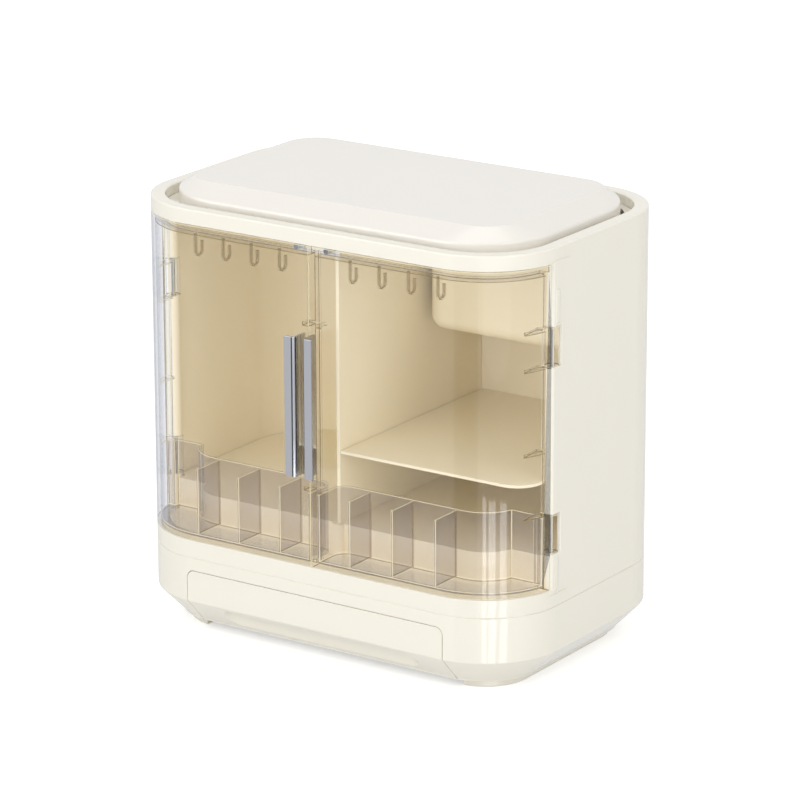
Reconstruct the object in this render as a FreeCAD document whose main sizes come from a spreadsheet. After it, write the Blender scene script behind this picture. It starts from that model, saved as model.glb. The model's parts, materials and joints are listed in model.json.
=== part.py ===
import FreeCAD, Part
import math
import os
from types import SimpleNamespace

import Sketcher
from FreeCAD import Vector

# Cosmetic organizer box: a cabinet with two clear doors, a drawer and a lift-off lid.
# Millimetres, +Z up, front towards -Y. The origin is the bottom centre of the whole
# box, handles included, so the body itself sits half a handle's reach behind it.

DIMENSIONS = {
    # Body outline, seen from above
    "width": 300.0,
    "depth": 198.0,
    "corner_radius": 53.5,
    "wall": 3.0,
    "overrun": 2.0,  # how far a cutting form reaches past the face it cuts
    "seat_gap": 0.3,  # gap round a piece that is laid into another
    # Base
    "foot_height": 5.4,
    "foot_inset": 22.0,
    "foot_width": 8.0,
    "foot_reach": 3.5,  # how far a rail stops short of its corner's centre
    "base_lip": 1.0,
    "chamfer_inset": 16.7,
    "chamfer_rise": 17.3,
    "seam_level": 54.0,
    "base_floor": 2.5,
    "base_shoulder": 1.2,
    "guide_rise": 1.0,
    "guide_wall": 2.0,
    "seam_groove": 0.5,
    "base_round": 2.0,
    # Upper housing
    "sill_rise": 11.5,
    "window_height": 211.4,
    "band_height": 10.0,
    "rim_width": 9.5,
    "rim_plate": 3.0,
    "rim_skirt": 3.0,
    "ledge_reach": 3.5,
    "ledge_thickness": 1.5,
    "rim_round": 1.0,
    "floor_ledge_reach": 2.5,
    "floor_ledge_thickness": 2.0,
    "jamb_offset": 3.9,  # from the hinge axis forward to the side wall's edge
    "shelf_rib_thickness": 2.0,
    "shelf_rib_reach": 2.5,
    "shelf_rib_length": 70.0,
    # Hinges
    "hinge_inset": 4.0,
    "hinge_depth": 52.4,
    "pin_radius": 1.25,
    "pin_clearance": 0.05,
    "pin_grip": 20.0,
    "pin_tail": 4.5,
    "knuckle_radius": 4.6,
    "knuckle_length": 25.5,
    "knuckle_gap": 0.3,
    "knuckle_side_gap": 0.6,
    "lower_knuckle_rise": 23.1,  # from the door's lower edge
    "upper_knuckle_drop": 40.5,  # from the door's upper edge
    "post_rib_width": 3.7,
    "post_rib_proud": 0.6,
    "post_rib_length": 21.5,
    "post_rib_gap": 2.5,
    # Cabinet floor
    "riser_height": 21.3,
    "floor_plate": 2.0,
    "sill_plate": 2.0,
    "riser_wall": 2.0,
    "riser_gap": 1.0,  # between the door trays and the riser behind them
    "post_gap": 0.4,
    "block_half_width": 4.0,
    "block_reach": 3.2,
    # Fastening of the base
    "boss_offset": 13.0,  # from a corner's centre, outwards along both sides
    "base_boss_radius": 5.5,
    "floor_boss_radius": 4.5,
    "screw_radius": 1.4,
    "screw_length": 20.0,
    "screw_head_radius": 3.0,
    "screw_head_height": 2.4,
    "screw_clearance": 0.1,
    "screw_seat": 10.0,  # plastic left over the screw head
    # Partition and shelf
    "divider_thickness": 2.4,
    "shelf_rise": 48.7,
    "shelf_thickness": 2.0,
    "shelf_corner": 18.0,
    # Top deck with its well
    "deck_thickness": 2.0,
    "well_side": 7.0,  # from the middle plane
    "well_front_share": 0.601,  # of the depth, from the front face back to the well
    "well_depth": 82.4,
    "well_wall": 2.0,
    "well_corner": 12.0,
    "well_bottom_round": 9.0,
    "well_gap": 0.5,
    # Lid
    "lid_gap": 4.0,
    "lid_corner": 52.0,
    "lid_edge_rise": 3.0,  # over the rim
    "lid_slope_rise": 8.1,
    "lid_slope_side": 16.9,
    "lid_slope_front": 16.5,
    "plateau_corner": 21.0,
    "lid_wall": 2.5,
    "lid_round": 2.5,
    "plateau_round": 1.5,
    # Drawer
    "drawer_side_inset": 50.8,  # from the body's side to the drawer's edge
    "drawer_front_drop": 9.4,  # from the seam down to the drawer's upper edge
    "drawer_front_corner": 5.0,
    "drawer_front_wall": 3.0,
    "drawer_front_depth": 24.0,
    "drawer_front_foot": 3.6,
    "drawer_knee_rise": 7.3,
    "drawer_gap": 0.3,
    "drawer_side_gap": 0.7,
    "drawer_tray_drop": 3.6,
    "drawer_wall": 2.0,
    "scoop_end_inset": 24.2,
    "scoop_chord": 18.0,
    "scoop_depth": 3.5,
    # Doors
    "door_wall": 2.5,
    "door_gap": 0.4,
    "door_meeting_gap": 0.8,
    "door_edge_offset": 6.1,
    "flange_thickness": 2.0,
    "meeting_flange_depth": 10.0,
    "meeting_rib_width": 6.5,
    "meeting_rib_thickness": 2.0,
    "meeting_rib_rise": 3.6,  # from the handle up to the rib over it
    "meeting_rib_drop": 11.0,  # from the handle down to the rib under it
    "rail_depth": 9.0,
    "hook_rail_drop": 4.5,
    "hinge_flange_depth": 6.5,
    "web_half_width": 3.0,
    "gusset_thickness": 1.6,
    "gusset_reach": 20.0,
    "gusset_depth": 10.0,
    "low_gusset_gap": 1.0,
    "middle_gusset_share": 0.428,
    # Door trays
    "tray_gap": 0.2,
    "tray_depth": 29.5,  # from the door's face to the back of the tray
    "tray_step": 18.2,  # how much deeper the tray is beside the hinge
    "tray_height": 46.1,
    "tray_wall": 1.8,
    "tray_corner": 10.0,
    "tray_end_offset": 4.6,
    "tray_divider_first_share": 0.18,
    "tray_divider_pitch_share": 0.2167,
    "tray_divider_thickness": 1.6,
    "tray_divider_gap": 0.3,
    # Hooks
    "hook_first_share": 0.18,
    "hook_pitch_share": 0.1453,
    "hook_depth": 5.5,
    "hook_wall": 1.6,
    "hook_width": 2.2,
    "hook_drop": 15.7,
    "hook_tip_height": 9.7,
    "hook_bend": 4.1,
    # Handles
    "handle_reach": 13.0,
    "handle_inner": 2.9,
    "handle_width": 7.7,
    "handle_wall": 1.6,
    "handle_corner": 3.0,
    "handle_rise": 62.6,
    "handle_length_share": 0.4364,
    # Magnets
    "magnet_radius": 2.1,
    "magnet_length": 6.2,
    "magnet_place": 11.3,
    "magnet_lift": 0.1,
    "catch_magnet_length": 2.2,
    "catch_tab_wall": 3.2,
    "catch_tab_half_width": 16.0,
    "catch_tab_drop": 7.9,
    "catch_tab_gap": 0.6,
}

TRAY_DIVIDERS = 3
HOOKS = 4

DOC = FreeCAD.newDocument("organizer")
SHEET = DOC.addObject("Spreadsheet::Sheet", "sizes")


class Size:
    """A length with its value and the expression that ties it to the sheet."""

    def __init__(self, value, text):
        self.value = float(value)
        self.text = text

    def __add__(self, other):
        other = as_size(other)
        return Size(self.value + other.value, f"({self.text} + {other.text})")

    def __sub__(self, other):
        other = as_size(other)
        return Size(self.value - other.value, f"({self.text} - {other.text})")

    def __mul__(self, other):
        other = as_size(other)
        return Size(self.value * other.value, f"({self.text} * {other.text})")

    def __truediv__(self, other):
        other = as_size(other)
        return Size(self.value / other.value, f"({self.text} / {other.text})")

    def __neg__(self):
        return Size(-self.value, f"(-1 * {self.text})")


def as_size(number):
    """A plain number as a Size."""
    if isinstance(number, Size):
        return number
    return Size(number, repr(float(number)))


def root(square):
    """Square root of a Size."""
    return Size(math.sqrt(square.value), f"sqrt({square.text})")


def fill_sheet():
    """Write every dimension into the sheet and return them as Sizes."""
    sizes = {}
    for row, (alias, value) in enumerate(DIMENSIONS.items(), start=1):
        SHEET.set(f"A{row}", alias)
        SHEET.set(f"B{row}", str(value))
        SHEET.setAlias(f"B{row}", alias)
        sizes[alias] = Size(value, f"sizes.{alias}")
    DOC.recompute()
    return SimpleNamespace(**sizes)


d = fill_sheet()
ZERO = Size(0.0, "0")

# Places that several pieces share, worked out from the dimensions
half_width = d.width / 2
mid_y = d.handle_reach / 2
front = mid_y - d.depth / 2
back = mid_y + d.depth / 2
corner_x = half_width - d.corner_radius
front_corner_y = front + d.corner_radius
back_corner_y = back - d.corner_radius

base_bottom = d.foot_height
chamfer_bottom = base_bottom + d.base_lip
chamfer_top = chamfer_bottom + d.chamfer_rise
base_floor_top = base_bottom + d.base_floor
drawer_half_width = half_width - d.drawer_side_inset
drawer_front_top = d.seam_level - d.drawer_front_drop
bay_half_width = drawer_half_width + d.drawer_gap
bay_top = drawer_front_top + d.drawer_gap
guide_top = bay_top + d.guide_rise

window_bottom = d.seam_level + d.sill_rise
window_top = window_bottom + d.window_height
rim_top = window_top + d.band_height
ledge_top = window_top + d.ledge_thickness
ledge_inset = d.rim_width + d.ledge_reach
deck_top = ledge_top + d.deck_thickness
well_bottom = ledge_top - d.well_depth
lid_edge_level = rim_top + d.lid_edge_rise
lid_top_level = lid_edge_level + d.lid_slope_rise

hinge_x = half_width - d.hinge_inset
hinge_y = front + d.hinge_depth
jamb_y = hinge_y - d.jamb_offset
post_notch_x = hinge_x - d.hinge_inset - d.post_gap
post_notch_y = hinge_y + d.hinge_inset + d.post_gap
pin_hole_radius = d.pin_radius + d.pin_clearance

door_bottom = window_bottom + d.door_gap
door_top = window_top - d.door_gap
door_height = door_top - door_bottom
lower_knuckle_level = door_bottom + d.lower_knuckle_rise
lower_knuckle_top = lower_knuckle_level + d.knuckle_length
upper_knuckle_top = door_top - d.upper_knuckle_drop
upper_knuckle_level = upper_knuckle_top - d.knuckle_length
door_start = d.door_meeting_gap / 2
handle_bottom = door_bottom + d.handle_rise
handle_top = handle_bottom + door_height * d.handle_length_share
door_edge_y = hinge_y - d.door_edge_offset
rail_top = door_top - d.hook_rail_drop
rail_bottom = rail_top - d.flange_thickness
tray_bottom = door_bottom + d.flange_thickness
tray_top = tray_bottom + d.tray_height
tray_floor_top = tray_bottom + d.tray_wall

riser_depth = d.tray_depth + d.riser_gap
riser_step_y = front + riser_depth + d.tray_step
floor_level = window_bottom + d.riser_height
shelf_level = floor_level + d.shelf_rise
shelf_bottom = shelf_level - d.shelf_thickness
magnet_level = rail_top + d.magnet_radius + d.magnet_lift


def chord_reach(radius, rise):
    """How far a circle reaches sideways at a height off its centre."""
    return root(radius * radius - rise * rise)


def line_to(x, y):
    """A vertex that is left along a straight line."""
    return (x, y, None)


def arc_to(x, y, radius, centre_x, centre_y):
    """A vertex that is left along an arc of less than half a turn."""
    return (x, y, (radius, centre_x, centre_y))


def mirrored_loop(half):
    """A closed loop from its right half, listed from the front to the back."""
    left = []
    for index in range(len(half) - 1, -1, -1):
        x, y, _ = half[index]
        arc = half[index - 1][2] if index else None
        if arc:
            radius, centre_x, centre_y = arc
            arc = (radius, -centre_x, centre_y)
        left.append((-x, y, arc))
    return list(half) + left


def rectangle(x_low, x_high, y_low, y_high):
    """Four straight sides."""
    return [
        line_to(x_low, y_low),
        line_to(x_high, y_low),
        line_to(x_high, y_high),
        line_to(x_low, y_high),
    ]


def rounded(half_x, half_y, radius):
    """A rounded rectangle about the body's middle."""
    x_arc = half_x - radius
    low = mid_y - half_y
    high = mid_y + half_y
    return mirrored_loop([
        arc_to(x_arc, low, radius, x_arc, low + radius),
        line_to(half_x, low + radius),
        arc_to(half_x, high - radius, radius, x_arc, high - radius),
        line_to(x_arc, high),
    ])


def body_outline(inset):
    """The body's outline, moved inwards by an inset."""
    return rounded(half_width - inset, d.depth / 2 - inset, d.corner_radius - inset)


def circle(x, y, radius):
    """A round loop."""
    return ("circle", x, y, radius)


FLOOR = "XY_Plane"
FRONT = "XZ_Plane"
SIDE = "YZ_Plane"
LEVEL_TOLERANCE = 1e-4
# The front plane's normal points to -Y, so a level along +Y changes its sign there
PLANE_SIGN = {FLOOR: 1, FRONT: -1, SIDE: 1}


class Piece:
    """A body that is built from sketched pads, cuts and lofts."""

    def __init__(self, name):
        self.body = DOC.addObject("PartDesign::Body", name)
        self.cuts = []

    def plane(self, role):
        """One of the body's own origin planes."""
        for feature in self.body.Origin.OriginFeatures:
            if feature.Role == role:
                return feature
        raise ValueError(role)

    def sketch(self, loops, level, role=FLOOR):
        """A sketch at a level above one of the origin planes."""
        sketch = self.body.newObject("Sketcher::SketchObject", "outline")
        sketch.AttachmentSupport = [(self.plane(role), "")]
        sketch.MapMode = "FlatFace"
        height = level * PLANE_SIGN[role]
        sketch.AttachmentOffset = FreeCAD.Placement(
            Vector(0, 0, height.value), FreeCAD.Rotation()
        )
        sketch.setExpression("AttachmentOffset.Base.z", height.text)
        for loop in loops:
            if loop[0] == "circle":
                draw_circle(sketch, loop)
            else:
                draw_loop(sketch, loop)
        return sketch

    def pad(self, loops, low, high, role=FLOOR):
        """Material between two levels."""
        start = low if PLANE_SIGN[role] > 0 else high
        sketch = self.sketch(loops, start, role)
        pad = self.body.newObject("PartDesign::Pad", "pad")
        pad.Profile = sketch
        length = high - low
        pad.Length = length.value
        pad.setExpression("Length", length.text)
        return pad

    def cut(self, loops, low, high, role=FLOOR):
        """A cut between two levels."""
        start = high if PLANE_SIGN[role] > 0 else low
        sketch = self.sketch(loops, start, role)
        pocket = self.body.newObject("PartDesign::Pocket", "cut")
        pocket.Profile = sketch
        length = high - low
        pocket.Length = length.value
        pocket.setExpression("Length", length.text)
        self.cuts.append(pocket)
        return pocket

    def loft(self, lower, upper, low, high, kind="PartDesign::AdditiveLoft"):
        """A straight-sided loft from one outline to another."""
        first = self.sketch([lower], low)
        second = self.sketch([upper], high)
        loft = self.body.newObject(kind, "slope")
        loft.Profile = first
        loft.Sections = [second]
        loft.Ruled = True
        if kind == "PartDesign::SubtractiveLoft":
            self.cuts.append(loft)
        return loft

    def round_edges_at(self, level, radius):
        """Round the edges that lie at one level."""
        DOC.recompute()
        base = self.body.Tip
        names = []
        for index, edge in enumerate(base.Shape.Edges, start=1):
            if all(abs(end.Z - level.value) < LEVEL_TOLERANCE for end in edge.Vertexes):
                names.append(f"Edge{index}")
        fillet = self.body.newObject("PartDesign::Fillet", "round")
        fillet.Base = (base, names)
        fillet.Radius = radius.value
        fillet.setExpression("Radius", radius.text)
        return fillet


def pin_value(sketch, kind, geometry, position, size, name):
    """Hold one coordinate of a point at a size of the sheet."""
    index = sketch.addConstraint(
        Sketcher.Constraint(kind, -1, 1, geometry, position, size.value)
    )
    sketch.renameConstraint(index, name)
    sketch.setExpression(f"Constraints.{name}", size.text)


def pin_radius_value(sketch, geometry, size, name):
    """Hold the radius of an arc or circle at a size of the sheet."""
    index = sketch.addConstraint(Sketcher.Constraint("Radius", geometry, size.value))
    sketch.renameConstraint(index, name)
    sketch.setExpression(f"Constraints.{name}", size.text)


def draw_circle(sketch, loop):
    """Add a circle whose centre and radius follow the sheet."""
    _, x, y, radius = loop
    round_edge = Part.Circle(Vector(x.value, y.value, 0), Vector(0, 0, 1), radius.value)
    geometry = sketch.addGeometry(round_edge)
    pin_value(sketch, "DistanceX", geometry, 3, x, f"centre_{geometry}_x")
    pin_value(sketch, "DistanceY", geometry, 3, y, f"centre_{geometry}_y")
    pin_radius_value(sketch, geometry, radius, f"radius_{geometry}")


def draw_loop(sketch, loop):
    """Add a closed chain of lines and arcs whose vertices follow the sheet."""
    chain = []
    for index, (x, y, arc) in enumerate(loop):
        next_x, next_y, _ = loop[(index + 1) % len(loop)]
        start = Vector(x.value, y.value, 0)
        end = Vector(next_x.value, next_y.value, 0)
        if arc is None:
            chain.append((sketch.addGeometry(Part.LineSegment(start, end)), 1, 2))
            continue
        radius, centre_x, centre_y = arc
        centre = Vector(centre_x.value, centre_y.value, 0)
        first = start - centre
        last = end - centre
        first_angle = math.atan2(first.y, first.x)
        last_angle = math.atan2(last.y, last.x)
        base = Part.Circle(centre, Vector(0, 0, 1), radius.value)
        if first.cross(last).z > 0:
            curve = Part.ArcOfCircle(base, first_angle, last_angle)
            chain.append((sketch.addGeometry(curve), 1, 2))
        else:
            curve = Part.ArcOfCircle(base, last_angle, first_angle)
            chain.append((sketch.addGeometry(curve), 2, 1))
    for index, (x, y, arc) in enumerate(loop):
        geometry, start_end, stop_end = chain[index]
        follower, follower_start, _ = chain[(index + 1) % len(chain)]
        sketch.addConstraint(
            Sketcher.Constraint("Coincident", geometry, stop_end, follower, follower_start)
        )
        pin_value(sketch, "DistanceX", geometry, start_end, x, f"vertex_{geometry}_x")
        pin_value(sketch, "DistanceY", geometry, start_end, y, f"vertex_{geometry}_y")
        if arc:
            pin_radius_value(sketch, geometry, arc[0], f"radius_{geometry}")


def bind(thing, **properties):
    """Set properties of a primitive and tie them to the sheet."""
    for name, size in properties.items():
        path = name.replace("_", ".") if name.startswith("Placement") else name
        thing.setExpression(path, size.text)


def place(thing, x, y, z):
    """Put a primitive's origin at a point that follows the sheet."""
    thing.Placement = FreeCAD.Placement(
        Vector(x.value, y.value, z.value), thing.Placement.Rotation
    )
    bind(thing, Placement_Base_x=x, Placement_Base_y=y, Placement_Base_z=z)


def box(name, x_low, x_high, y_low, y_high, z_low, z_high):
    """A rectangular block between six faces."""
    block = DOC.addObject("Part::Box", name)
    bind(block, Length=x_high - x_low, Width=y_high - y_low, Height=z_high - z_low)
    place(block, x_low, y_low, z_low)
    return block


def rod(name, x, y, z, radius, length, turn=None):
    """A cylinder that starts at a point, along Z unless it is turned."""
    cylinder = DOC.addObject("Part::Cylinder", name)
    bind(cylinder, Radius=radius, Height=length)
    if turn:
        cylinder.Placement = FreeCAD.Placement(Vector(0, 0, 0), turn)
    place(cylinder, x, y, z)
    return cylinder


def ball(name, x, y, z, radius):
    """A sphere about a point."""
    sphere = DOC.addObject("Part::Sphere", name)
    bind(sphere, Radius=radius)
    place(sphere, x, y, z)
    return sphere


def fused(name, parts):
    """Several forms as one."""
    joined = DOC.addObject("Part::MultiFuse", name)
    joined.Shapes = parts
    return joined


def cut_away(name, base, tool):
    """One form less another."""
    rest = DOC.addObject("Part::Cut", name)
    rest.Base = base
    rest.Tool = tool
    return rest


def shared(name, parts):
    """What several forms have in common."""
    common = DOC.addObject("Part::MultiCommon", name)
    common.Shapes = parts
    return common


def mirrored(name, source):
    """The left-hand copy of a right-hand piece."""
    copy = DOC.addObject("Part::Mirroring", name)
    copy.Source = source
    copy.Normal = (1, 0, 0)
    return copy


TO_FRONT = FreeCAD.Rotation(Vector(1, 0, 0), 90)
TO_BACK = FreeCAD.Rotation(Vector(1, 0, 0), -90)
TO_RIGHT = FreeCAD.Rotation(Vector(0, 1, 0), 90)

PIECES = []
NODES = {}


def piece(name):
    """A new body, kept so that its cuts can be checked at the end."""
    made = Piece(name)
    PIECES.append(made)
    return made


def node(label, thing):
    """Name a finished piece."""
    thing.Label = label
    NODES[label] = thing


def floor_ledges():
    """Plans of the ledges under the cabinet floor, along the straight walls."""
    inner_x = half_width - d.wall - d.floor_ledge_reach
    outer_x = half_width - d.wall / 2
    start_y = post_notch_y + d.post_gap
    return [
        rectangle(inner_x, outer_x, start_y, back_corner_y),
        rectangle(-outer_x, -inner_x, start_y, back_corner_y),
        rectangle(-corner_x, corner_x, back - d.wall - d.floor_ledge_reach, back - d.wall / 2),
    ]


def hinge_posts(body, side):
    """The round post of one side, with its ribs, knuckle slots and pin holes."""
    x = hinge_x * side
    post_bottom = window_bottom - d.wall
    body.pad([circle(x, hinge_y, d.hinge_inset)], post_bottom, ledge_top)
    rib_out = (half_width + d.post_rib_proud) * side
    rib_in = (half_width - d.wall / 2) * side
    rib_front = hinge_y - d.post_rib_width / 2
    rib_back = hinge_y + d.post_rib_width / 2
    upper_rib = upper_knuckle_top + d.post_rib_gap
    lower_rib = lower_knuckle_level - d.post_rib_gap - d.post_rib_length
    for low in (lower_rib, upper_rib):
        high = low + d.post_rib_length
        body.pad([rectangle(rib_in, rib_out, rib_front, rib_back)], low, high)
    slot_in = (hinge_x - d.knuckle_radius - d.knuckle_side_gap) * side
    slot_out = (half_width + d.overrun) * side
    slot_front = jamb_y - d.overrun
    slot_back = hinge_y + d.knuckle_radius + d.knuckle_side_gap
    for level in (lower_knuckle_level, upper_knuckle_level):
        body.cut(
            [rectangle(slot_in, slot_out, slot_front, slot_back)],
            level - d.knuckle_gap,
            level + d.knuckle_length + d.knuckle_gap,
        )
    body.cut(
        [circle(x, hinge_y, pin_hole_radius)],
        upper_knuckle_level - d.pin_tail - d.overrun,
        upper_knuckle_top + d.pin_grip,
    )
    body.cut(
        [circle(x, hinge_y, pin_hole_radius)],
        lower_knuckle_level - d.pin_grip,
        lower_knuckle_top + d.pin_tail + d.overrun,
    )


def upper_housing():
    """Outer tube with the door window, the hollow rim and the hinge posts."""
    body = piece("upper_housing")
    body.pad([body_outline(ZERO), body_outline(d.wall)], d.seam_level, rim_top)
    window = rectangle(
        -half_width - d.overrun, half_width + d.overrun, front - d.overrun, jamb_y
    )
    body.cut([window], window_bottom, window_top)
    body.pad([body_outline(ZERO), body_outline(d.rim_width)], rim_top - d.rim_plate, rim_top)
    skirt = [body_outline(d.rim_width - d.rim_skirt), body_outline(d.rim_width)]
    body.pad(skirt, window_top, rim_top - d.rim_plate)
    ledge = [body_outline(d.rim_width - d.rim_skirt), body_outline(ledge_inset)]
    body.pad(ledge, window_top, ledge_top)
    body.pad([body_outline(ZERO), body_outline(d.rim_width)], window_top, ledge_top)
    ledge_level = floor_level - d.floor_plate
    for ledge_plan in floor_ledges():
        body.pad([ledge_plan], ledge_level - d.floor_ledge_thickness, ledge_level)
    rib = rectangle(
        half_width - d.wall - d.shelf_rib_reach,
        half_width - d.wall / 2,
        mid_y - d.shelf_rib_length / 2,
        mid_y + d.shelf_rib_length / 2,
    )
    body.pad([rib], shelf_bottom - d.shelf_rib_thickness, shelf_bottom)
    tab_front = front + d.meeting_flange_depth + d.catch_tab_gap
    tab = rectangle(
        -d.catch_tab_half_width, d.catch_tab_half_width, tab_front, tab_front + d.catch_tab_wall
    )
    body.pad([tab], window_top - d.catch_tab_drop, ledge_top)
    sockets = []
    for side in (1, -1):
        hinge_posts(body, side)
        socket_radius = d.magnet_radius + d.pin_clearance
        sockets.append(circle(d.magnet_place * side, magnet_level, socket_radius))
    body.cut(sockets, tab_front - d.overrun, tab_front + d.catch_magnet_length, FRONT)

    body.round_edges_at(rim_top, d.rim_round)
    node("upper_housing", body.body)


def catch_magnets():
    """Two magnets in the tab behind the doors."""
    tab_front = front + d.meeting_flange_depth + d.catch_tab_gap
    magnets = []
    for side in (1, -1):
        magnets.append(rod(
            "catch_magnet",
            d.magnet_place * side,
            tab_front + d.catch_magnet_length,
            magnet_level,
            d.magnet_radius,
            d.catch_magnet_length,
            TO_FRONT,
        ))
    node("catch_magnets", fused("catch_magnets", magnets))


def hinge_pins():
    """Steel pins of the four hinges."""
    for side, word in ((-1, "left"), (1, "right")):
        lengths = d.knuckle_length + d.pin_grip + d.pin_tail
        starts = (
            ("lower", lower_knuckle_level - d.pin_grip),
            ("upper", upper_knuckle_level - d.pin_tail),
        )
        for level_word, start in starts:
            label = f"hinge_pin_{word}_{level_word}"
            node(label, rod(label, hinge_x * side, hinge_y, start, d.pin_radius, lengths))


def boss_places():
    """The four screw places, as x and y."""
    x = corner_x + d.boss_offset
    for side in (1, -1):
        yield x * side, front_corner_y - d.boss_offset
        yield x * side, back_corner_y + d.boss_offset


def base_housing():
    """Chamfered base with the drawer bay, its guides and the screw bosses."""
    outer = piece("base_form")
    outer.pad([body_outline(d.chamfer_inset)], base_bottom, chamfer_bottom)
    outer.loft(body_outline(d.chamfer_inset), body_outline(ZERO), chamfer_bottom, chamfer_top)
    outer.pad([body_outline(ZERO)], chamfer_top, d.seam_level - d.seam_groove)
    outer.round_edges_at(chamfer_top, d.base_round)
    outer.pad([body_outline(d.seam_groove)], d.seam_level - d.seam_groove, d.seam_level)
    hollow = piece("base_hollow")
    floor_inset = d.chamfer_inset + d.base_floor
    shoulder = chamfer_top + d.base_shoulder
    hollow.loft(body_outline(floor_inset), body_outline(d.wall), base_floor_top, shoulder)
    hollow.pad([body_outline(d.wall)], shoulder, d.seam_level + d.overrun)
    shell = cut_away("base_shell", outer.body, hollow.body)
    additions = [shell]
    for side in (1, -1):
        near = bay_half_width * side
        far = (bay_half_width + d.guide_wall) * side
        low, high = (near, far) if side > 0 else (far, near)
        additions.append(box("guide_block", low, high, front, back, base_bottom, guide_top))
    guides = shared("base_guides", [outer.body, fused("guide_blocks", additions[1:])])
    bosses = []
    seats = []
    for x, y in boss_places():
        boss_height = d.seam_level - base_floor_top
        bosses.append(rod("base_boss", x, y, base_floor_top, d.base_boss_radius, boss_height))
        seat_radius = d.screw_head_radius + d.seat_gap
        seat_depth = d.seam_level - d.screw_seat - base_bottom + d.overrun
        seats.append(rod("screw_seat", x, y, base_bottom - d.overrun, seat_radius, seat_depth))
        hole_radius = d.screw_radius + d.screw_clearance
        hole_length = d.seam_level - base_bottom + d.overrun
        seats.append(rod("screw_hole", x, y, base_bottom, hole_radius, hole_length))
    solid = fused("base_solid", [shell, guides] + bosses)
    bay = piece("drawer_bay")
    bay_corner = d.drawer_front_corner + d.drawer_gap
    bay_back = front + d.drawer_front_depth + d.drawer_gap
    bay.pad([bay_outline(bay_half_width, bay_top, bay_corner)], front - d.overrun, bay_back, FRONT)
    opening = fused("base_openings", [bay.body] + seats)
    node("base_housing", cut_away("base_housing", solid, opening))


def bay_outline(half_x, top, radius):
    """A front view with two rounded upper corners, open past the bottom."""
    low = base_bottom - d.overrun
    right = [
        line_to(half_x, low),
        arc_to(half_x, top - radius, radius, half_x - radius, top - radius),
        line_to(half_x - radius, top),
    ]
    return mirrored_loop(right)


def foot_rails():
    """Rails under the base, one along each side and round both corners."""
    outer = d.corner_radius - d.foot_inset
    inner = outer - d.foot_width
    rail_end = corner_x + d.foot_reach
    outer_rise = chord_reach(outer, d.foot_reach)
    inner_rise = chord_reach(inner, d.foot_reach)
    rail = piece("foot_rail_right")
    rail.pad([[
        arc_to(rail_end, front_corner_y - outer_rise, outer, corner_x, front_corner_y),
        line_to(corner_x + outer, front_corner_y),
        arc_to(corner_x + outer, back_corner_y, outer, corner_x, back_corner_y),
        line_to(rail_end, back_corner_y + outer_rise),
        arc_to(rail_end, back_corner_y + inner_rise, inner, corner_x, back_corner_y),
        line_to(corner_x + inner, back_corner_y),
        arc_to(corner_x + inner, front_corner_y, inner, corner_x, front_corner_y),
        line_to(rail_end, front_corner_y - inner_rise),
    ]], ZERO, base_bottom)
    node("foot_rail_right", rail.body)
    node("foot_rail_left", mirrored("foot_rail_left", rail.body))


def screws():
    """Four screws that pull the base and the cabinet floor together."""
    parts = []
    head_bottom = d.seam_level - d.screw_seat - d.screw_head_height
    for x, y in boss_places():
        head = rod("screw_head", x, y, head_bottom, d.screw_head_radius, d.screw_head_height)
        shank_length = d.screw_length + d.screw_head_height
        shank = rod("screw_shank", x, y, head_bottom, d.screw_radius, shank_length)
        parts.extend([head, shank])
    node("base_screws", fused("base_screws", parts))


def riser_path(offset):
    """Right half of the stepped line behind the door trays, from the middle out."""
    radius = d.corner_radius - riser_depth - offset
    step_y = riser_step_y + offset
    reach = chord_reach(radius, front_corner_y - step_y)
    return [
        arc_to(corner_x, front + riser_depth + offset, radius, corner_x, front_corner_y),
        line_to(corner_x + reach, step_y),
        line_to(post_notch_x, step_y),
    ]


def reverse_path(path):
    """The same line walked the other way, with each arc on its new first vertex."""
    turned = []
    for index in range(len(path) - 1, -1, -1):
        x, y, _ = path[index]
        arc = path[index - 1][2] if index else None
        turned.append((x, y, arc))
    return turned


def left_of(path):
    """A line mirrored to the left side and walked the other way."""
    flipped = []
    for x, y, arc in path:
        if arc:
            arc = (arc[0], -arc[1], arc[2])
        flipped.append((-x, y, arc))
    return reverse_path(flipped)


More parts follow.
